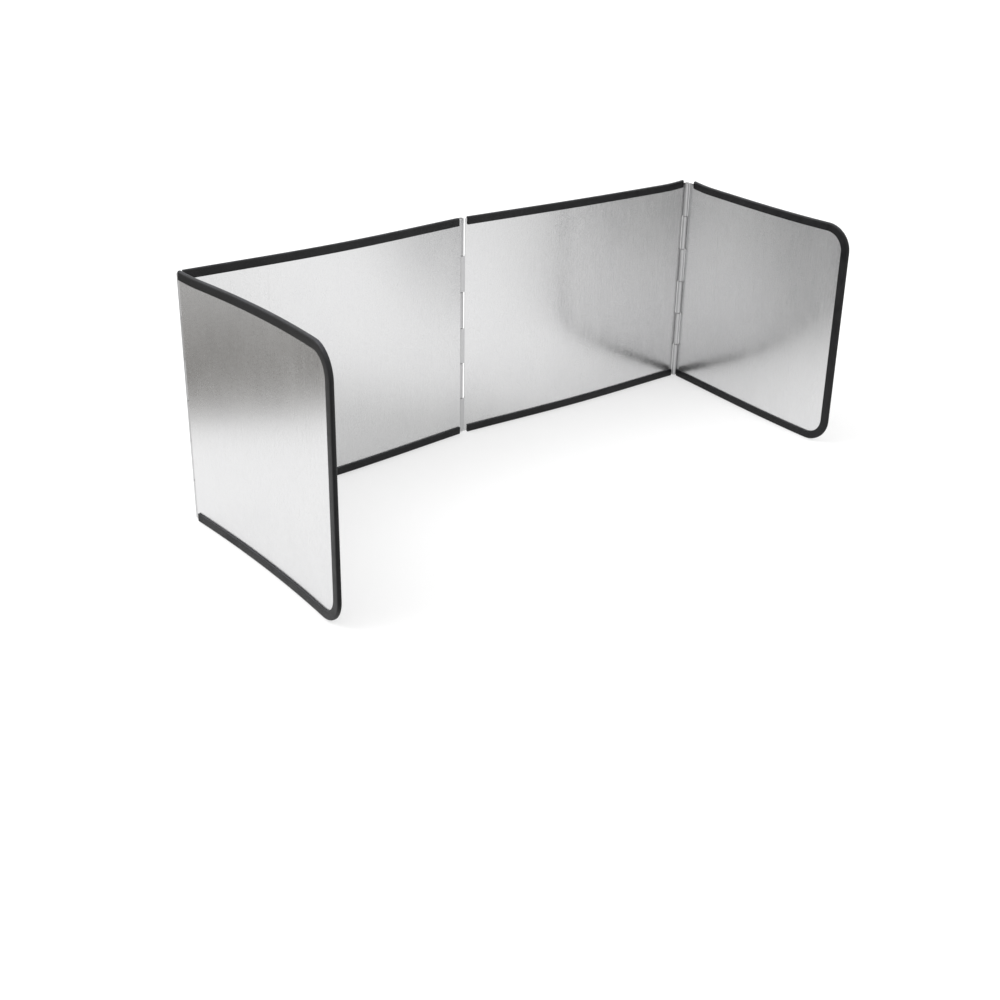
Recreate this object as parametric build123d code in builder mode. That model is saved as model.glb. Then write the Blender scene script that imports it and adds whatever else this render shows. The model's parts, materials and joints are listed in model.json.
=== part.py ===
"""Folding four-panel windscreen for a table-top camping cooker.

Four thin aluminium sheets stand on edge in a U.  The sheets' own edges are cut into tabs and
rolled round steel pins, which makes three long knuckle hinges, and every free edge wears a
rubber trim of U section.  The barrels of the two corner hinges are inside the U and the
barrel of the centre hinge is behind it, so the screen folds up in a zigzag.

Frame: +Z up, +X from the left end panel to the right one, -Y towards the open side, origin at
the middle of the footprint on the ground.  Millimetres and degrees.
"""

import os
from math import asin, cos, degrees, radians, sin, sqrt

from build123d import *

# Overall sizes
screen_height = 240.0
main_width = 310.0  # centre hinge axis to corner hinge axis, along the sheet
end_width = 239.0  # corner hinge axis to the outer edge of the trim, along the sheet
corner_radius = 27.0  # outer corners of the end panels, over the trim

# How the screen stands: how far each hinge is turned from lying flat
corner_fold = 91.2
centre_fold = 4.0  # towards the open side

# Sheet and hinges
sheet_thickness = 0.8
pin_diameter = 4.0
pin_chamfer = 0.3
pin_clearance = 0.05  # radial, in the rolled knuckles
knuckle_count = 6
knuckle_gap = 0.8  # between one knuckle and the next
notch_clearance = 0.3  # radial, from a barrel to the notch corners of the other sheet
deep_notch_edge = 3.5  # centre hinge axis to the right main sheet's notches, which are deeper
seam_clearance = 0.2  # from the lip of a rolled knuckle to its own sheet

# Edge trim
trim_thickness = 4.2
trim_height = 8.4  # face of the trim, from its outer edge inwards
trim_web = 1.7  # rubber beyond the edge of the sheet
trim_rounding = 1.7  # outer edges of the section
lip_rounding = 0.5  # edges of the two lips that grip the sheet

# Hinge axis to the cut end of a trim, along the sheet.  The lengths are cut by hand, so no two
# ends are quite alike.  A straight trim has its centre end first, a wrapped one its low end.
left_main_top_ends = (5.5, 4.0)
left_main_bottom_ends = (3.6, 3.8)
right_main_top_ends = (6.3, 5.5)
right_main_bottom_ends = (7.6, 3.8)
left_end_ends = (5.5, 3.6)
right_end_ends = (3.6, 10.5)

# Worked out from the sizes above
bore_radius = pin_diameter / 2 + pin_clearance
barrel_radius = bore_radius + sheet_thickness
roll_radius = bore_radius + sheet_thickness / 2  # hinge axis to the middle of the sheet
roll_angle = 270 + degrees(asin((bore_radius - seam_clearance) / barrel_radius))
notch_edge = sqrt((barrel_radius + notch_clearance) ** 2 - bore_radius**2)
sheet_low = trim_web
sheet_high = screen_height - trim_web
knuckle_length = (sheet_high - sheet_low - (knuckle_count - 1) * knuckle_gap) / knuckle_count
knuckle_pitch = knuckle_length + knuckle_gap
end_sheet_width = end_width - trim_web
end_sheet_radius = corner_radius - trim_web
end_lean = radians(corner_fold + centre_fold / 2 - 90)
half_fold = radians(centre_fold / 2)
screen_reach = (
    main_width * sin(half_fold)
    + 2 * roll_radius * cos(half_fold)
    + end_width * cos(end_lean)
    + roll_radius * sin(end_lean)
)
centre_hinge_depth = (screen_reach - barrel_radius) / 2  # puts the origin mid-footprint


# A plan is a horizontal plane with its origin on a hinge axis at ground level and its X along
# the panel.  The middle of the panel's sheet lies at one constant Y of its plan.
def next_plan(plan, hinge_x, hinge_y, turn):
    hinge = plan.from_local_coords((hinge_x, hinge_y, 0))
    return Plane(hinge, x_dir=plan.x_dir, z_dir=plan.z_dir).rotated((0, 0, turn))


def upright(plan, middle):
    """The plane of a sheet's middle: X along the panel, Y up."""
    foot = plan.from_local_coords((0, middle, 0))
    return Plane(foot, x_dir=plan.x_dir, z_dir=-plan.y_dir)


def knuckle_lows(first):
    """The low end of every second knuckle; first is 0 to start with the top one, else 1."""
    top_low = sheet_high - knuckle_length
    return [top_low - index * knuckle_pitch for index in range(first, knuckle_count, 2)]


def panel(plan, middle, outline, hinges):
    """A sheet with its rolled knuckles.

    outline is the flat part of the sheet.  Each hinge is (x, y, inwards, first, notch): its axis
    in the plan, +1 or -1 for the way to the rest of the panel, the first knuckle of this panel,
    and how far the outline stops from the axis.
    """
    with BuildPart() as built:
        with BuildSketch(upright(plan, middle)):
            add(outline)
            for hinge_x, _, inwards, first, notch in hinges:
                for low in knuckle_lows(first):
                    with Locations((hinge_x + inwards * notch / 2, low + knuckle_length / 2)):
                        Rectangle(notch, knuckle_length)
        extrude(amount=sheet_thickness / 2, both=True)
        for hinge_x, hinge_y, inwards, first, _ in hinges:
            barrel_side = 1 if hinge_y > middle else -1
            start = -90 * barrel_side
            sweep_angle = -barrel_side * inwards * roll_angle
            for low in knuckle_lows(first):
                with BuildSketch(plan.offset(low)):
                    with BuildLine():
                        outside = CenterArc((hinge_x, hinge_y), barrel_radius, start, sweep_angle)
                        inside = CenterArc((hinge_x, hinge_y), bore_radius, start, sweep_angle)
                        Line(outside @ 0, inside @ 0)
                        Line(outside @ 1, inside @ 1)
                    make_face()
                extrude(amount=knuckle_length)
    return built


def main_outline(centre_notch):
    width = main_width - centre_notch - notch_edge
    with BuildSketch() as outline:
        with Locations((centre_notch + width / 2, screen_height / 2)):
            Rectangle(width, sheet_high - sheet_low)
    return outline.sketch


def end_outline():
    width = end_sheet_width - notch_edge
    with BuildSketch() as outline:
        with Locations((notch_edge + width / 2, screen_height / 2)):
            Rectangle(width, sheet_high - sheet_low)
        fillet(outline.vertices().group_by(Axis.X)[-1], end_sheet_radius)
    return outline.sketch


def trim_section(edge, along, outwards):
    """The U section round a point on a sheet's edge, square to the edge's direction."""
    with BuildSketch(Plane(edge, x_dir=outwards.cross(along), z_dir=along)) as section:
        with Locations((0, trim_web - trim_height / 2)):
            Rectangle(trim_thickness, trim_height)
        fillet(section.vertices().group_by(Axis.Y)[-1], trim_rounding)
        fillet(section.vertices().group_by(Axis.Y)[0], lip_rounding)
        with Locations((0, (trim_web - trim_height) / 2)):
            Rectangle(sheet_thickness, trim_height - trim_web, mode=Mode.SUBTRACT)
    return section.sketch


def straight_trim(plan, middle, edge_height, outwards, ends):
    """The trim along the top or bottom edge of a main panel."""
    start = plan.from_local_coords((ends[0], middle, edge_height))
    section = trim_section(start, plan.x_dir, outwards)
    with BuildPart() as built:
        extrude(section, amount=main_width - ends[0] - ends[1])
    return built


def wrapped_trim(plan, middle, ends):
    """One length of trim along the bottom, outer and top edges of an end panel."""
    start = plan.from_local_coords((ends[0], middle, sheet_low))
    section = trim_section(start, plan.x_dir, Vector(0, 0, -1))
    with BuildPart() as built:
        with BuildLine(upright(plan, middle)) as edge:
            FilletPolyline(
                (ends[0], sheet_low),
                (end_sheet_width, sheet_low),
                (end_sheet_width, sheet_high),
                (ends[1], sheet_high),
                radius=end_sheet_radius,
            )
        sweep(section, path=edge.line)
    return built


def hinge_pin(plan, hinge_x, hinge_y):
    """A plain steel wire as long as the sheets are high."""
    foot = plan.from_local_coords((hinge_x, hinge_y, sheet_low))
    with BuildPart(Plane(foot)) as built:
        Cylinder(
            pin_diameter / 2,
            sheet_high - sheet_low,
            align=(Align.CENTER, Align.CENTER, Align.MIN),
        )
        chamfer(built.edges().filter_by(GeomType.CIRCLE), pin_chamfer)
    return built


# Main panels, each from the centre hinge outwards.  Seen from above, the right sheet lies on
# the open side of the centre hinge's axis, and so does the left one.
centre_hinge = Plane((0, centre_hinge_depth, 0))
right_main_plan = centre_hinge.rotated((0, 0, -centre_fold / 2))
left_main_plan = centre_hinge.rotated((0, 0, 180 + centre_fold / 2))
right_middle = -roll_radius
left_middle = roll_radius

right_main_panel = panel(
    right_main_plan,
    right_middle,
    main_outline(deep_notch_edge),
    [(0, 0, 1, 1, deep_notch_edge), (main_width, 2 * right_middle, -1, 0, notch_edge)],
)
left_main_panel = panel(
    left_main_plan,
    left_middle,
    main_outline(notch_edge),
    [(0, 0, 1, 0, notch_edge), (main_width, 2 * left_middle, -1, 0, notch_edge)],
)

# End panels, each from its corner hinge outwards, with the sheet outside the hinge's axis
right_end_plan = next_plan(right_main_plan, main_width, 2 * right_middle, -corner_fold)
left_end_plan = next_plan(left_main_plan, main_width, 2 * left_middle, corner_fold)
end_hinges = [(0, 0, 1, 1, notch_edge)]
right_end_panel = panel(right_end_plan, -right_middle, end_outline(), end_hinges)
left_end_panel = panel(left_end_plan, -left_middle, end_outline(), end_hinges)

# Hinge pins
centre_hinge_pin = hinge_pin(centre_hinge, 0, 0)
right_hinge_pin = hinge_pin(right_end_plan, 0, 0)
left_hinge_pin = hinge_pin(left_end_plan, 0, 0)

# Edge trims
up = Vector(0, 0, 1)
right_main_top_trim = straight_trim(
    right_main_plan, right_middle, sheet_high, up, right_main_top_ends
)
right_main_bottom_trim = straight_trim(
    right_main_plan, right_middle, sheet_low, -up, right_main_bottom_ends
)
left_main_top_trim = straight_trim(
    left_main_plan, left_middle, sheet_high, up, left_main_top_ends
)
left_main_bottom_trim = straight_trim(
    left_main_plan, left_middle, sheet_low, -up, left_main_bottom_ends
)
right_end_trim = wrapped_trim(right_end_plan, -right_middle, right_end_ends)
left_end_trim = wrapped_trim(left_end_plan, -left_middle, left_end_ends)

pieces = {
    "left_end_panel": left_end_panel,
    "left_main_panel": left_main_panel,
    "right_main_panel": right_main_panel,
    "right_end_panel": right_end_panel,
    "left_hinge_pin": left_hinge_pin,
    "centre_hinge_pin": centre_hinge_pin,
    "right_hinge_pin": right_hinge_pin,
    "left_end_trim": left_end_trim,
    "left_main_top_trim": left_main_top_trim,
    "left_main_bottom_trim": left_main_bottom_trim,
    "right_main_top_trim": right_main_top_trim,
    "right_main_bottom_trim": right_main_bottom_trim,
    "right_end_trim": right_end_trim,
}
os.makedirs("parts", exist_ok=True)
for name, piece in pieces.items():
    piece.part.label = name
    export_step(piece.part, f"parts/{name}.step")
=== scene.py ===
"""Looks of the folding four-panel windscreen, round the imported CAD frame.

The CAD sheets and trims are flat and straight.  Here each sheet is drawn with the slight bow
that thin sheet takes when it stands on edge, with the same notches and rolled knuckles, and
each trim follows the edge of its own bowed sheet.  The hinge pins are the CAD nodes, with a
material of their own.  Lengths are in metres.
"""

import json
from math import asin, atan, atan2, cos, hypot, pi, radians, sin, sqrt

import bpy
from mathutils import Matrix, Vector


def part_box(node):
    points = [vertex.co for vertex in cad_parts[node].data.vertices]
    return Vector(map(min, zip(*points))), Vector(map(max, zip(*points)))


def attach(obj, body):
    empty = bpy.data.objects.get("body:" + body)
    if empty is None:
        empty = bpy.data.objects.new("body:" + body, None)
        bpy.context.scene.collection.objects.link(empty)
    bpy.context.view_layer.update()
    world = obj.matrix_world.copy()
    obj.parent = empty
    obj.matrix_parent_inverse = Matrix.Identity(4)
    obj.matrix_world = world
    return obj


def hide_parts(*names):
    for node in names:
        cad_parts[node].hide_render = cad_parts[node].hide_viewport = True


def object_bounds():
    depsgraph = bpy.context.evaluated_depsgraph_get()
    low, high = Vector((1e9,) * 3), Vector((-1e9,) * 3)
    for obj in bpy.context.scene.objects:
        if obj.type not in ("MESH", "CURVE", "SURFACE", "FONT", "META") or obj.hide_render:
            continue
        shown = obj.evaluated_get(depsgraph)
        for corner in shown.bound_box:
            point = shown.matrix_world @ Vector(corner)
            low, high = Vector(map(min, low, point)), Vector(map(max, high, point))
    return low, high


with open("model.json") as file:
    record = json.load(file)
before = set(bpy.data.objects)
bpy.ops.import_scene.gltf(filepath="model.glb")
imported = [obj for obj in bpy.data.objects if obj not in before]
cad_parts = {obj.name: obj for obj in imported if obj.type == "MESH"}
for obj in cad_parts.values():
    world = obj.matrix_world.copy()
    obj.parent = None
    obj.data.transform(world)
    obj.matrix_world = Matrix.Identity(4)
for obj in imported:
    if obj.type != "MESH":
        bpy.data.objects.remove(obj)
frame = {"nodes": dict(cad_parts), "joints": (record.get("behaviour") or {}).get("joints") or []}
cad_low, cad_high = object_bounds()

# ---------------------------------------------------------------- sizes
JOINTS = {joint["name"]: joint for joint in frame["joints"]}
SHEET = 0.0008  # thickness
PIN_CLEARANCE = 0.00005  # radial, in the rolled knuckles
SEAM_CLEARANCE = 0.0002  # from the lip of a knuckle to its own sheet
NOTCH_CLEARANCE = 0.0003  # radial, from a barrel to the notch corners of the other sheet
DEEP_NOTCH = 0.0035  # centre hinge axis to the right main sheet's notches
KNUCKLES = 6
KNUCKLE_GAP = 0.0008
TRIM_THICKNESS = 0.0042
TRIM_SHOULDER = 0.0017  # rounding of the trim's outer edges
TRIM_LIP = 0.0006  # rounding of the edges that grip the sheet
LIP_FLARE = 0.0003  # widening of the slot on each side, at the lips
LIP_FLARE_DEPTH = 0.0002
CORNER_RADIUS = 0.027  # outer corners of the end panels, over the trim

pin_low, pin_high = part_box("centre_hinge_pin")
BORE = (pin_high.x - pin_low.x) / 2 + PIN_CLEARANCE
BARREL = BORE + SHEET
ROLL = BORE + SHEET / 2
NOTCH = sqrt((BARREL + NOTCH_CLEARANCE) ** 2 - BORE**2)
ROLL_ANGLE = 1.5 * pi + asin((BORE - SEAM_CLEARANCE) / BARREL)

sheet_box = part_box("right_main_panel")
SHEET_LOW = sheet_box[0].z
SHEET_HIGH = sheet_box[1].z
SHEET_HEIGHT = SHEET_HIGH - SHEET_LOW
trim_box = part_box("right_main_top_trim")
TRIM_HEIGHT = trim_box[1].z - trim_box[0].z
TRIM_WEB = trim_box[1].z - SHEET_HIGH
KNUCKLE_LENGTH = (SHEET_HEIGHT - (KNUCKLES - 1) * KNUCKLE_GAP) / KNUCKLES
KNUCKLE_PITCH = KNUCKLE_LENGTH + KNUCKLE_GAP

# How finely the meshes are cut
ROLL_STEPS = 20  # round a knuckle
FLAT_STEPS = 48  # across a sheet, and along the straight edges of a wrapped trim
ROW_STEPS = 6  # up a knuckle
TURN_STEPS = 16  # round a corner of an end panel
OUTER_STEPS = 24  # up the outer edge of an end panel
STRAIGHT_STEPS = 60  # along a straight trim
SHARP_ANGLE = radians(35)  # edges sharper than this are not smoothed


# ---------------------------------------------------------------- the panels in plan
class Panel:
    """One sheet: its plan starts on a hinge axis, with u along the sheet and n square to it."""

    def __init__(
        self, origin, angle, middle, width, inside, hinges, bows, clamp, corner=0.0, notch=NOTCH
    ):
        self.origin = origin
        self.angle = angle
        self.middle = middle  # n of the flat sheet's middle
        self.width = width  # u of the far tangent point, or of the free edge
        self.inside = inside  # +1 or -1: the way along n to the space inside the U
        self.hinges = hinges  # (u, n, inwards, first knuckle) of each hinge axis
        self.bow_top, self.bow_bottom = bows
        self.clamp = clamp  # 0 where the hinges let the sheet's ends lean, 1 where they hold them
        self.corner = corner  # radius of the two corners at the free edge
        self.notch = notch  # u where the flat part starts, beside the other sheet's knuckles

    def bow(self, u, z):
        """How far the sheet's middle stands off its plane, towards the inside of the U."""
        share = min(max(u / self.width, 0.0), 1.0)
        parabola = 4 * share * (1 - share)
        if self.corner:
            clamped = 6.75 * share * share * (1 - share)  # 1 at its highest, like the others
        else:
            clamped = sin(pi * share) ** 2
        height = (z - SHEET_LOW) / SHEET_HEIGHT
        most = self.bow_bottom + (self.bow_top - self.bow_bottom) * height
        return self.inside * most * (parabola + (clamped - parabola) * self.clamp)

    def slope(self, u, z):
        step = self.width / 1000
        low, high = max(u - step, 0.0), min(u + step, self.width)
        return (self.bow(high, z) - self.bow(low, z)) / (high - low)

    def place(self, u, n, z):
        x = self.origin[0] + u * cos(self.angle) - n * sin(self.angle)
        y = self.origin[1] + u * sin(self.angle) + n * cos(self.angle)
        return Vector((x, y, z))

    def edge_heights(self, u):
        """The low and high edges of the sheet at u, which close in at rounded corners."""
        past = u - (self.width - self.corner)
        if past <= 0:
            return SHEET_LOW, SHEET_HIGH
        rise = self.corner - (max(self.corner**2 - past**2, 0.0)) ** 0.5
        return SHEET_LOW + rise, SHEET_HIGH - rise


def main_panel(side, corner_joint, first, bows, clamp, notch):
    centre = JOINTS["centre_fold"]["pos_m"]
    corner = JOINTS[corner_joint]["pos_m"]
    across, along = corner[0] - centre[0], corner[1] - centre[1]
    middle = -side * ROLL
    width = (hypot(across, along) ** 2 - (2 * ROLL) ** 2) ** 0.5
    angle = atan2(along, across) - atan2(2 * middle, width)
    hinges = [(0.0, 0.0, 1, first), (width, 2 * middle, -1, 0)]
    return Panel(centre, angle, middle, width, -side, hinges, bows, clamp, notch=notch)


def end_panel(side, corner_joint, main, trim_node, bows, clamp):
    corner = JOINTS[corner_joint]
    angle = main.angle + side * radians(corner["range_deg"][0])
    low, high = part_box(trim_node)
    depth = corner["pos_m"][1] - low.y
    reach = (depth - ROLL * abs(sin(angle + pi / 2))) / abs(sin(angle))
    return Panel(
        corner["pos_m"], angle, side * ROLL, reach - TRIM_WEB, -side,
        [(0.0, 0.0, 1, 1)], bows, clamp, CORNER_RADIUS - TRIM_WEB,
    )


# Bows are heights at the top and at the bottom
right_main = main_panel(1, "right_fold", 1, (0.0026, 0.0043), 0.57, DEEP_NOTCH)
left_main = main_panel(-1, "left_fold", 0, (0.0076, 0.0045), 0.44, NOTCH)
right_end = end_panel(1, "right_fold", right_main, "right_end_trim", (0.0063, 0.0033), 0.68)
left_end = end_panel(-1, "left_fold", left_main, "left_end_trim", (0.0075, 0.0048), 0.1)

# Hinge axis to the cut ends of each trim: centre and corner end, or low and high end
TRIM_ENDS = {
    "left_main_top_trim": (0.0055, 0.004),
    "left_main_bottom_trim": (0.0036, 0.0038),
    "right_main_top_trim": (0.0063, 0.0055),
    "right_main_bottom_trim": (0.0076, 0.0038),
    "left_end_trim": (0.0055, 0.0036),
    "right_end_trim": (0.0036, 0.0105),
}

# Three top trims have crept up a little at the corner hinges: how far, at the start and at the
# end of each trim's route, and the length over which that dies away
TOP_CURLS = {
    "left_end": (0.0, 0.0019),
    "right_end": (0.0, 0.0019),
    "right_main_top": (0.0018, 0.0),
}
NO_CURLS = (0.0, 0.0)
CURL_LENGTH = 0.032


# ---------------------------------------------------------------- mesh code
def mesh_object(name, points, faces, *materials):
    mesh = bpy.data.meshes.new(name)
    mesh.from_pydata(points, [], faces)
    mesh.validate()
    mesh.polygons.foreach_set("use_smooth", [True] * len(mesh.polygons))
    mesh.set_sharp_from_angle(angle=SHARP_ANGLE)
    for material in materials:
        mesh.materials.append(material)
    piece = bpy.data.objects.new(name, mesh)
    bpy.context.scene.collection.objects.link(piece)
    return piece


def roll_stations(panel, hinge, z):
    """Middle line of a rolled knuckle, from the tangent point round to the lip."""
    hinge_u, hinge_n, inwards, _ = hinge
    barrel_side = 1 if hinge_n > panel.middle else -1
    start = -barrel_side * pi / 2 + atan(panel.slope(hinge_u, z))
    turn = -barrel_side * inwards * ROLL_ANGLE
    stations = []
    for step in range(ROLL_STEPS + 1):
        angle = start + turn * step / ROLL_STEPS
        stations.append((hinge_u + ROLL * cos(angle), hinge_n + ROLL * sin(angle)))
    return stations


def flat_columns(panel):
    """Values of u for the flat part, from the notch edge of one side to the other side."""
    first = panel.notch
    last = panel.width - (panel.corner or NOTCH)
    columns = [first + (last - first) * step / FLAT_STEPS for step in range(FLAT_STEPS + 1)]
    if panel.corner:
        angles = [pi / 2 * step / TURN_STEPS for step in range(1, TURN_STEPS + 1)]
        columns += [last + panel.corner * sin(angle) for angle in angles]
    return columns


def row_heights():
    """Heights of the rows, split where the knuckles are, with the knuckle that each row is in."""
    rows = []
    for index in reversed(range(KNUCKLES)):
        low = SHEET_HIGH - index * KNUCKLE_PITCH - KNUCKLE_LENGTH
        rows += [(low + KNUCKLE_LENGTH * step / ROW_STEPS, index) for step in range(ROW_STEPS)]
        rows.append((low + KNUCKLE_LENGTH, None))
    return rows


def middle_line(panel, z):
    """Points (u, n) across the whole panel at one height, and the owner of each stretch.

    The owner is the hinge whose knuckles the stretch belongs to, or None on the flat part.
    """
    line = roll_stations(panel, panel.hinges[0], z)[::-1]
    owners = [0] * (ROLL_STEPS + 1)
    columns = flat_columns(panel)
    line += [(u, panel.middle + panel.bow(u, z)) for u in columns]
    owners += [None] * (len(columns) - 1)
    if len(panel.hinges) > 1:
        line += roll_stations(panel, panel.hinges[1], z)
        owners += [1] * (ROLL_STEPS + 1)
    return line, owners


def sheet_mesh(name, panel, flat_material, rolled_material):
    """The bowed sheet with notches, rolled knuckles and its real thickness."""
    rows = row_heights()
    grid = []
    for height, _ in rows:
        line, owners = middle_line(panel, height)
        row = []
        for index, (u, n) in enumerate(line):
            before = line[max(index - 1, 0)]
            after = line[min(index + 1, len(line) - 1)]
            along = Vector((after[0] - before[0], after[1] - before[1])).normalized()
            low, high = panel.edge_heights(u)
            z = low + (height - SHEET_LOW) / SHEET_HEIGHT * (high - low)
            across = along * SHEET / 2
            row.append([
                panel.place(u - across.y, n + across.x, z),
                panel.place(u + across.y, n - across.x, z),
            ])
        grid.append(row)

    def solid(row, column):
        if not (0 <= row < len(rows) - 1 and 0 <= column < len(owners)):
            return False
        owner = owners[column]
        knuckle = rows[row][1]
        if owner is None:
            return True
        return knuckle is not None and knuckle % 2 == panel.hinges[owner][3]

    points, index_of, faces, rolled = [], {}, [], []

    def point(row, column, face):
        key = (row, column, face)
        if key not in index_of:
            index_of[key] = len(points)
            points.append(grid[row][column][face])
        return index_of[key]

    for row in range(len(rows) - 1):
        for column in range(len(owners)):
            if not solid(row, column):
                continue
            ring = [(row, column), (row, column + 1), (row + 1, column + 1), (row + 1, column)]
            faces.append([point(*corner, 1) for corner in ring])
            faces.append([point(*corner, 0) for corner in reversed(ring)])
            neighbours = [
                (row - 1, column), (row, column + 1), (row + 1, column), (row, column - 1),
            ]
            for side, neighbour in enumerate(neighbours):
                if not solid(*neighbour):
                    a, b = ring[side], ring[(side + 1) % 4]
                    faces.append([point(*b, 1), point(*a, 1), point(*a, 0), point(*b, 0)])
            rolled += [int(owners[column] is not None)] * (len(faces) - len(rolled))
    piece = mesh_object(name, points, faces, flat_material, rolled_material)
    piece.data.polygons.foreach_set("material_index", rolled)
    return piece


def arc(centre, radius, start, end, steps):
    """Points on an arc, both ends included."""
    return [
        (centre[0] + radius * cos(start + (end - start) * step / steps),
         centre[1] + radius * sin(start + (end - start) * step / steps))
        for step in range(steps + 1)
    ]


def trim_section():
    """The U section as (across, outwards) points, counter-clockwise."""
    inner = TRIM_WEB - TRIM_HEIGHT
    slot = SHEET / 2
    flare_top = inner + LIP_FLARE_DEPTH
    lip_across, lip_out = TRIM_THICKNESS / 2 - TRIM_LIP, inner + TRIM_LIP
    shoulder_across, shoulder_out = TRIM_THICKNESS / 2 - TRIM_SHOULDER, TRIM_WEB - TRIM_SHOULDER
    section = [(slot, 0.0), (slot, flare_top), (slot + LIP_FLARE, inner)]
    section += arc((lip_across, lip_out), TRIM_LIP, -pi / 2, 0.0, 4)
    section += arc((shoulder_across, shoulder_out), TRIM_SHOULDER, 0.0, pi / 2, 8)
    section += arc((-shoulder_across, shoulder_out), TRIM_SHOULDER, pi / 2, pi, 8)
    section += arc((-lip_across, lip_out), TRIM_LIP, pi, 1.5 * pi, 4)
    section += [(-slot - LIP_FLARE, inner), (-slot, flare_top), (-slot, 0.0)]
    return section


def curl(point, end, height):
    """How far a trim has crept off its edge at a point of its route, if the end crept by height."""
    distance = abs(point[0] - end[0]) + abs(point[1] - end[1])
    return height * max(1 - distance / CURL_LENGTH, 0.0) ** 2


def sweep_mesh(name, panel, route, curls, material):
    """The trim section carried along a route of (u, z) points on the edge of a sheet."""
    section = trim_section()
    points, faces = [], []
    for index, (u, z) in enumerate(route):
        before = route[max(index - 1, 0)]
        after = route[min(index + 1, len(route) - 1)]
        along = Vector((after[0] - before[0], after[1] - before[1])).normalized()
        outwards = (along.y, -along.x)
        slope = panel.slope(u, z)
        stretch = hypot(1.0, slope)
        n = panel.middle + panel.bow(u, z)
        creep = curl((u, z), route[0], curls[0]) + curl((u, z), route[-1], curls[1])
        for across, out in section:
            out += creep
            du = (outwards[0] * out - slope * across) / stretch
            dn = (outwards[0] * out * slope + across) / stretch
            points.append(panel.place(u + du, n + dn, z + outwards[1] * out))
    size = len(section)
    for ring in range(len(route) - 1):
        for side in range(size):
            a = ring * size + side
            b = ring * size + (side + 1) % size
            faces.append([a, a + size, b + size, b])
    faces.append(list(range(size)))
    faces.append([len(points) - 1 - side for side in range(size)])
    return mesh_object(name, points, faces, material)


def straight_route(panel, z, ends):
    """Along the bottom edge, or back along the top edge, so that outwards is off the sheet."""
    length = panel.width - ends[0] - ends[1]
    route = [(ends[0] + length * step / STRAIGHT_STEPS, z) for step in range(STRAIGHT_STEPS + 1)]
    return route if z < SHEET_LOW + SHEET_HEIGHT / 2 else route[::-1]


def wrapped_route(panel, ends):
    """Bottom edge, rounded corner, outer edge, rounded corner, top edge."""
    corner = panel.corner
    turn_u = panel.width - corner
    low_turn = arc((turn_u, SHEET_LOW + corner), corner, -pi / 2, 0.0, TURN_STEPS)
    high_turn = arc((turn_u, SHEET_HIGH - corner), corner, 0.0, pi / 2, TURN_STEPS)
    bottom_pitch = (turn_u - ends[0]) / FLAT_STEPS
    top_pitch = (turn_u - ends[1]) / FLAT_STEPS
    outer_pitch = (SHEET_HEIGHT - 2 * corner) / OUTER_STEPS
    bottom = [(ends[0] + bottom_pitch * step, SHEET_LOW) for step in range(FLAT_STEPS)]
    top = [(turn_u - top_pitch * step, SHEET_HIGH) for step in range(1, FLAT_STEPS + 1)]
    outer_low = SHEET_LOW + corner
    outer = [(panel.width, outer_low + outer_pitch * step) for step in range(1, OUTER_STEPS)]
    return bottom + low_turn + outer + high_turn + top


# ---------------------------------------------------------------- materials
def node_material(name):
    material = bpy.data.materials.new(name)
    material.use_nodes = True
    tree = material.node_tree
    return material, tree, tree.nodes["Principled BSDF"]


def pattern(tree, scale, stretch=(1.0, 1.0, 1.0), detail=4.0, turn=(0.0, 0.0, 0.0)):
    """A noise value fixed to the object, its grain drawn out by small numbers in stretch."""
    coordinates = tree.nodes.new("ShaderNodeTexCoord")
    mapping = tree.nodes.new("ShaderNodeMapping")
    mapping.inputs["Rotation"].default_value = turn
    mapping.inputs["Scale"].default_value = stretch
    noise = tree.nodes.new("ShaderNodeTexNoise")
    noise.inputs["Scale"].default_value = scale
    noise.inputs["Detail"].default_value = detail
    tree.links.new(coordinates.outputs["Object"], mapping.inputs["Vector"])
    tree.links.new(mapping.outputs["Vector"], noise.inputs["Vector"])
    return noise.outputs["Fac"]


def spread(tree, value, from_low, from_high, to_low, to_high):
    """Maps one range of a value to another, with nothing outside it."""
    node = tree.nodes.new("ShaderNodeMapRange")
    tree.links.new(value, node.inputs["Value"])
    node.inputs["From Min"].default_value = from_low
    node.inputs["From Max"].default_value = from_high
    node.inputs["To Min"].default_value = to_low
    node.inputs["To Max"].default_value = to_high
    return node.outputs["Result"]


def total(tree, first, *others):
    """Adds values up."""
    for other in others:
        node = tree.nodes.new("ShaderNodeMath")
        node.operation = "ADD"
        tree.links.new(first, node.inputs[0])
        tree.links.new(other, node.inputs[1])
        first = node.outputs["Value"]
    return first


def shades(tree, value, *stops):
    """Turns a value into a colour; each stop is (position, colour)."""
    node = tree.nodes.new("ShaderNodeValToRGB")
    tree.links.new(value, node.inputs["Fac"])
    ramp = node.color_ramp
    for element, (position, colour) in zip(ramp.elements, (stops[0], stops[-1])):
        element.position = position
        element.color = (*colour, 1.0)
    for position, colour in stops[1:-1]:
        ramp.elements.new(position).color = (*colour, 1.0)
    return node.outputs["Color"]


def relief(tree, shader, *layers):
    """Chains bumps; each layer is (height value, distance in metres)."""
    normal = None
    for height, distance in layers:
        node = tree.nodes.new("ShaderNodeBump")
        node.inputs["Strength"].default_value = 1.0
        node.inputs["Distance"].default_value = distance
        tree.links.new(height, node.inputs["Height"])
        if normal:
            tree.links.new(normal, node.inputs["Normal"])
        normal = node.outputs["Normal"]
    tree.links.new(normal, shader.inputs["Normal"])


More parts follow.
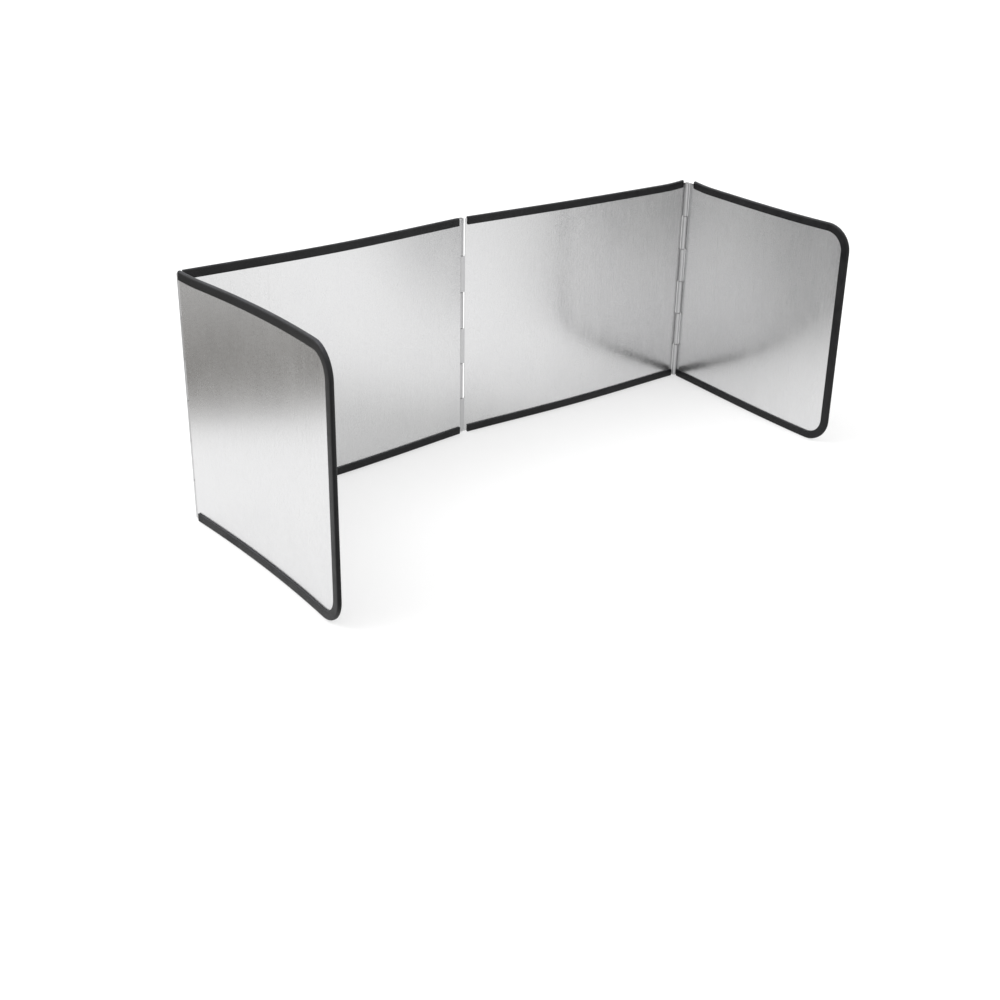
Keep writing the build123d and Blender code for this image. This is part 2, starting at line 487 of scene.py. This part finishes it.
def aluminium(name, low_shade, high_shade, dull):
    """Mill finish: fine speckle, faint upright grain, handling smudges and a few hair scratches.

    dull is the extra roughness, which rolling leaves on the knuckles.
    """
    material, tree, shader = node_material(name)
    speckle = pattern(tree, 2600.0, detail=2.0)
    grain = pattern(tree, 1400.0, (1.0, 1.0, 0.02), 3.0)
    smudge = pattern(tree, 22.0, (1.0, 1.0, 0.7), 5.0)
    scratch = pattern(tree, 260.0, (1.0, 1.0, 0.02), 2.0, (0.5, 0.35, 0.0))
    hairs = spread(tree, scratch, 0.7, 0.76, 0.0, 0.05)
    shade = total(
        tree, spread(tree, smudge, 0.3, 0.7, 0.0, 0.6), spread(tree, grain, 0.3, 0.7, 0.0, 0.4)
    )
    colour = shades(tree, shade, (0.2, low_shade), (0.8, high_shade))
    tree.links.new(colour, shader.inputs["Base Color"])
    rough = total(
        tree,
        spread(tree, smudge, 0.35, 0.65, 0.09 + dull, 0.13 + dull),
        spread(tree, speckle, 0.35, 0.65, 0.0, 0.24),
        spread(tree, grain, 0.3, 0.7, 0.0, 0.05),
        hairs,
    )
    tree.links.new(rough, shader.inputs["Roughness"])
    shader.inputs["Metallic"].default_value = 1.0
    relief(tree, shader, (speckle, 0.000001), (smudge, 0.00001))
    return material


def rubber():
    """Extruded black rubber: satin, a little uneven, with patches of pale dust; faces that point up
    are painted lighter, a painted highlight.
    """
    material, tree, shader = node_material("black_rubber")
    mottle = pattern(tree, 90.0)
    skin = pattern(tree, 1500.0, detail=2.0)
    dust = pattern(tree, 34.0, detail=6.0)
    coordinates = tree.nodes.new("ShaderNodeTexCoord")
    split = tree.nodes.new("ShaderNodeSeparateXYZ")
    tree.links.new(coordinates.outputs["Normal"], split.inputs["Vector"])
    shade = total(
        tree,
        spread(tree, mottle, 0.3, 0.7, 0.0, 0.3),
        spread(tree, dust, 0.58, 0.78, 0.0, 0.2),
        # painted highlight: faces that point up are painted lighter along the tops of the trims
        spread(tree, split.outputs["Z"], 0.15, 1.0, 0.0, 0.5),
    )
    colour = shades(
        tree,
        shade,
        (0.0, (0.003, 0.003, 0.0035)),
        (0.4, (0.009, 0.009, 0.01)),
        (1.0, (0.06, 0.062, 0.072)),
    )
    tree.links.new(colour, shader.inputs["Base Color"])
    rough = total(
        tree, spread(tree, mottle, 0.3, 0.7, 0.4, 0.5), spread(tree, dust, 0.5, 0.8, 0.0, 0.2)
    )
    tree.links.new(rough, shader.inputs["Roughness"])
    shader.inputs["Specular IOR Level"].default_value = 0.26
    relief(tree, shader, (mottle, 0.00006), (skin, 0.000008))
    return material


def steel():
    """Drawn wire, dulled and slightly stained, and painted dark: painted shade for the gaps between
    the knuckles, where the pins show.
    """
    material, tree, shader = node_material("pin_steel")
    drawn = pattern(tree, 1200.0, (1.0, 1.0, 0.03), 2.0)
    stain = pattern(tree, 120.0, detail=5.0)
    # The dark colour is painted shade for the knuckle gaps; the stain is the wire's own.
    colour = shades(tree, stain, (0.35, (0.09, 0.088, 0.085)), (0.6, (0.16, 0.16, 0.162)))
    tree.links.new(colour, shader.inputs["Base Color"])
    rough = total(
        tree, spread(tree, stain, 0.3, 0.7, 0.5, 0.38), spread(tree, drawn, 0.3, 0.7, 0.0, 0.08)
    )
    tree.links.new(rough, shader.inputs["Roughness"])
    shader.inputs["Metallic"].default_value = 1.0
    relief(tree, shader, (drawn, 0.000004))
    return material


sheet_material = aluminium(
    "mill_aluminium", low_shade=(0.68, 0.68, 0.685), high_shade=(0.705, 0.705, 0.707), dull=0.0
)
# The knuckles' copy is darker than the sheet's: painted shade that tones down the light they
# reflect. Its extra roughness comes from the rolling.
knuckle_material = aluminium(
    "rolled_aluminium_painted_shade", low_shade=(0.53, 0.53, 0.535), high_shade=(0.58, 0.58, 0.585), dull=0.24
)
trim_material = rubber()
pin_material = steel()


# ---------------------------------------------------------------- the pieces
def dress(piece, body, node):
    """Makes a piece stand for a CAD node and move with its body."""
    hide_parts(node)
    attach(piece, body)


panels = {
    "left_end": left_end,
    "left_main": left_main,
    "right_main": right_main,
    "right_end": right_end,
}
for body, panel in panels.items():
    sheet = sheet_mesh(body + "_sheet", panel, sheet_material, knuckle_material)
    dress(sheet, body, body + "_panel")
    if panel.corner:
        routes = {body: wrapped_route(panel, TRIM_ENDS[body + "_trim"])}
    else:
        routes = {
            body + "_top": straight_route(panel, SHEET_HIGH, TRIM_ENDS[body + "_top_trim"]),
            body + "_bottom": straight_route(panel, SHEET_LOW, TRIM_ENDS[body + "_bottom_trim"]),
        }
    for name, route in routes.items():
        curls = TOP_CURLS.get(name, NO_CURLS)
        edging = sweep_mesh(name + "_edging", panel, route, curls, trim_material)
        dress(edging, body, name + "_trim")

for name in ("left_hinge_pin", "centre_hinge_pin", "right_hinge_pin"):
    pin = frame["nodes"][name]
    pin.data.materials.clear()
    pin.data.materials.append(pin_material)


# ---------------------------------------------------------------- floor, light and camera
def floor():
    bpy.ops.mesh.primitive_plane_add(size=40.0, location=(0.0, 0.0, cad_low.z))
    plane = bpy.context.object
    plane.name = "floor"
    material, _, shader = node_material("floor_white")
    shader.inputs["Base Color"].default_value = (0.55, 0.55, 0.55, 1.0)
    shader.inputs["Roughness"].default_value = 1.0
    shader.inputs["Specular IOR Level"].default_value = 0.0
    shader.inputs["Emission Color"].default_value = (1.0, 1.0, 1.0, 1.0)
    shader.inputs["Emission Strength"].default_value = 0.45
    plane.data.materials.append(material)


FLAG_LIFT = 0.0005  # keeps a card from flickering with the floor


def painted_reflection_card(name, low, high, direction, colour, stops):
    """A glowing grey card on the floor, from corner low to corner high: a painted reflection of
    darker floor, seen only in the metal.

    It fades in along direction, an angle in plan; each stop is (metres along it from the
    origin, how far the card hides the white floor).
    """
    bpy.ops.mesh.primitive_plane_add(size=1.0)
    card = bpy.context.object
    card.name = name
    z = cad_low.z + FLAG_LIFT
    plan = [(low[0], low[1]), (high[0], low[1]), (low[0], high[1]), (high[0], high[1])]
    for vertex, (x, y) in zip(card.data.vertices, plan):
        vertex.co = (x, y, z)
    material, tree, shader = node_material(name)
    tree.nodes.remove(shader)
    coordinates = tree.nodes.new("ShaderNodeTexCoord")
    turn = tree.nodes.new("ShaderNodeMapping")
    turn.inputs["Rotation"].default_value = (0.0, 0.0, -direction)
    split = tree.nodes.new("ShaderNodeSeparateXYZ")
    tree.links.new(coordinates.outputs["Object"], turn.inputs["Vector"])
    tree.links.new(turn.outputs["Vector"], split.inputs["Vector"])
    near, far = stops[0][0], stops[-1][0]
    along = spread(tree, split.outputs["X"], near, far, 0.0, 1.0)
    shares = [((where - near) / (far - near), (share,) * 3) for where, share in stops]
    clear = tree.nodes.new("ShaderNodeBsdfTransparent")
    glow = tree.nodes.new("ShaderNodeEmission")
    glow.inputs["Color"].default_value = (*colour, 1.0)
    mix = tree.nodes.new("ShaderNodeMixShader")
    tree.links.new(shades(tree, along, *shares), mix.inputs["Fac"])
    tree.links.new(clear.outputs["BSDF"], mix.inputs[1])
    tree.links.new(glow.outputs["Emission"], mix.inputs[2])
    tree.links.new(mix.outputs["Shader"], tree.nodes["Material Output"].inputs["Surface"])
    card.data.materials.append(material)
    card.visible_camera = False
    card.visible_diffuse = False
    card.visible_shadow = False
    card.visible_transmission = False


def softbox(name, place, target, size, power):
    """A square lamp that faces the target."""
    light = bpy.data.lights.new(name, "AREA")
    light.shape = "RECTANGLE"
    light.size = size
    light.size_y = size
    light.energy = power
    lamp = bpy.data.objects.new(name, light)
    lamp.location = place
    lamp.rotation_euler = (Vector(target) - Vector(place)).to_track_quat("-Z", "Y").to_euler()
    bpy.context.scene.collection.objects.link(lamp)


def sky():
    """Even white light from all round."""
    world = bpy.data.worlds.new("studio")
    world.use_nodes = True
    background = world.node_tree.nodes["Background"]
    background.inputs["Color"].default_value = (1.0, 1.0, 1.0, 1.0)
    background.inputs["Strength"].default_value = 1.1
    bpy.context.scene.world = world


def camera():
    """From the front left, a little above the screen."""
    eye = Vector((-0.7104, -0.8575, 0.5551))
    azimuth, pitch, roll = radians(37.84), radians(21.21), radians(1.0)
    data = bpy.data.cameras.new("camera")
    data.sensor_width = 36.0
    data.lens = 44.15
    data.shift_y = -0.14
    data.clip_end = 100.0
    turn = (
        Matrix.Rotation(-azimuth, 4, "Z")
        @ Matrix.Rotation(pi / 2 - pitch, 4, "X")
        @ Matrix.Rotation(roll, 4, "Z")
    )
    viewer = bpy.data.objects.new("camera", data)
    viewer.matrix_world = Matrix.Translation(eye) @ turn
    bpy.context.scene.collection.objects.link(viewer)
    bpy.context.scene.camera = viewer


floor()
# Painted reflection: darker floor behind the screen, on the left.
painted_reflection_card(
    "painted_reflection_back",
    low=(-2.0, 0.14),
    high=(-0.33, 2.0),
    direction=radians(124.6),
    colour=(0.26, 0.25, 0.235),
    stops=(
        (0.435, 0.0), (0.475, 0.15), (0.505, 0.5), (0.56, 0.86),
        (0.64, 0.97), (0.73, 0.94), (0.9, 0.8), (1.7, 0.7),
    ),
)
# Painted reflection: darker floor in front of the screen, on the right.
painted_reflection_card(
    "painted_reflection_right",
    low=(0.0, -2.0),
    high=(2.0, -0.14),
    direction=radians(25),
    colour=(0.3, 0.3, 0.3),
    stops=((0.1, 0.0), (0.15, 0.12), (0.25, 0.4), (0.35, 0.6), (1.4, 0.7)),
)
# Painted reflection: darker floor in front of the screen, on the left.
painted_reflection_card(
    "painted_reflection_left",
    low=(-2.0, -2.0),
    high=(0.05, -0.14),
    direction=pi,
    colour=(0.2, 0.205, 0.192),
    stops=((0.03, 0.0), (0.15, 0.3), (0.3, 0.66), (1.0, 0.85)),
)
# Painted shadow: the shade on the floor inside the U, shown only in the metal's reflections.
painted_reflection_card(
    "painted_shadow_inside",
    low=(-0.3, -0.14),
    high=(0.2, 0.12),
    direction=radians(150),
    colour=(0.295, 0.3, 0.285),
    stops=((-0.08, 0.0), (-0.02, 0.14), (0.04, 0.29), (0.14, 0.24), (0.3, 0.32)),
)
sky()
softbox("window", place=(-4.0, 3.4, 6.4), target=(0.0, -0.1, 0.1), size=6.0, power=330.0)
camera()
bpy.context.scene.view_settings.view_transform = "Standard"
